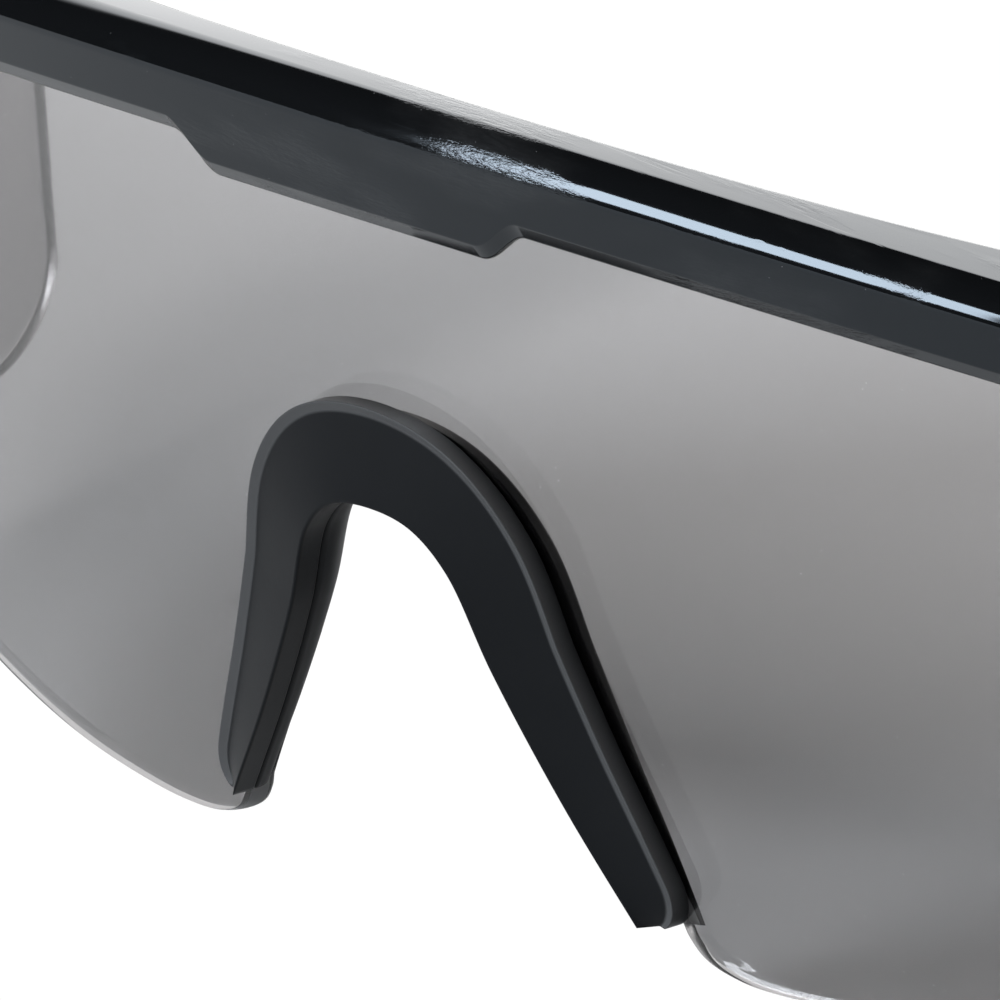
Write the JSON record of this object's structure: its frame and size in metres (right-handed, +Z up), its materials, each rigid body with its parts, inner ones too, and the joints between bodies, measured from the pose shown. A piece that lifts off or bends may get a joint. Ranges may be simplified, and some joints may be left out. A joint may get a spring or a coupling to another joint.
{
  "type": "safety glasses",
  "caption": "Wrap-round tinted safety glasses with a brow bar, soft nose bridge, folding, tilting and telescoping temples.",
  "frame": {"origin": "middle of the footprint, on the surface that the open glasses stand on", "axes": "+X across the face towards the wearer's left, the front looks along -Y and the temples run to +Y, +Z up"},
  "size_m": [0.1488, 0.1694, 0.0534],
  "materials": {
    "bar_gloss_black": "high-gloss moulded nylon, lightly scuffed",
    "lens_smoke": "polished grey polycarbonate, see-through",
    "nose_soft_black": "smooth satin soft vinyl",
    "steel": "plain turned steel",
    "hinge_black": "gloss moulded nylon",
    "temple_black": "gloss moulded nylon",
    "earpiece_black": "satin moulded nylon",
    "tip_soft_black": "fine-grained soft vinyl"
  },
  "bodies": {
    "front": {"brow_bar": "bar_gloss_black", "lens": "lens_smoke", "nose_bridge": "nose_soft_black", "hinge_screw_left": "steel", "hinge_screw_right": "steel"},
    "hinge_left": {"knuckle_left": "hinge_black"},
    "temple_left": {"temple_sleeve_left": "temple_black", "tilt_rivet_left": "steel", "tilt_washer_left": "steel"},
    "ear_left": {"earpiece_left": "earpiece_black", "ear_tip_left": "tip_soft_black"},
    "hinge_right": {"knuckle_right": "hinge_black"},
    "temple_right": {"temple_sleeve_right": "temple_black", "tilt_rivet_right": "steel", "tilt_washer_right": "steel"},
    "ear_right": {"earpiece_right": "earpiece_black", "ear_tip_right": "tip_soft_black"}
  },
  "joints": [
    {"name": "fold_left", "type": "hinge", "parent": "front", "child": "hinge_left", "pos_m": [0.0716, -0.03515, 0.0429], "axis": [0, 0, 1], "range_deg": [0, 90]},
    {"name": "tilt_left", "type": "hinge", "parent": "hinge_left", "child": "temple_left", "pos_m": [0.0716, -0.02595, 0.0429], "axis": [1, 0, 0], "range_deg": [-10, 10]},
    {"name": "length_left", "type": "slide", "parent": "temple_left", "child": "ear_left", "axis": [0, 0.9925, -0.1219], "range_m": [-0.005, 0.007]},
    {"name": "fold_right", "type": "hinge", "parent": "front", "child": "hinge_right", "pos_m": [-0.0716, -0.03515, 0.0429], "axis": [0, 0, -1], "range_deg": [0, 80]},
    {"name": "tilt_right", "type": "hinge", "parent": "hinge_right", "child": "temple_right", "pos_m": [-0.0716, -0.02595, 0.0429], "axis": [1, 0, 0], "range_deg": [-10, 10]},
    {"name": "length_right", "type": "slide", "parent": "temple_right", "child": "ear_right", "axis": [0, 0.9925, -0.1219], "range_m": [-0.005, 0.007]}
  ]
}
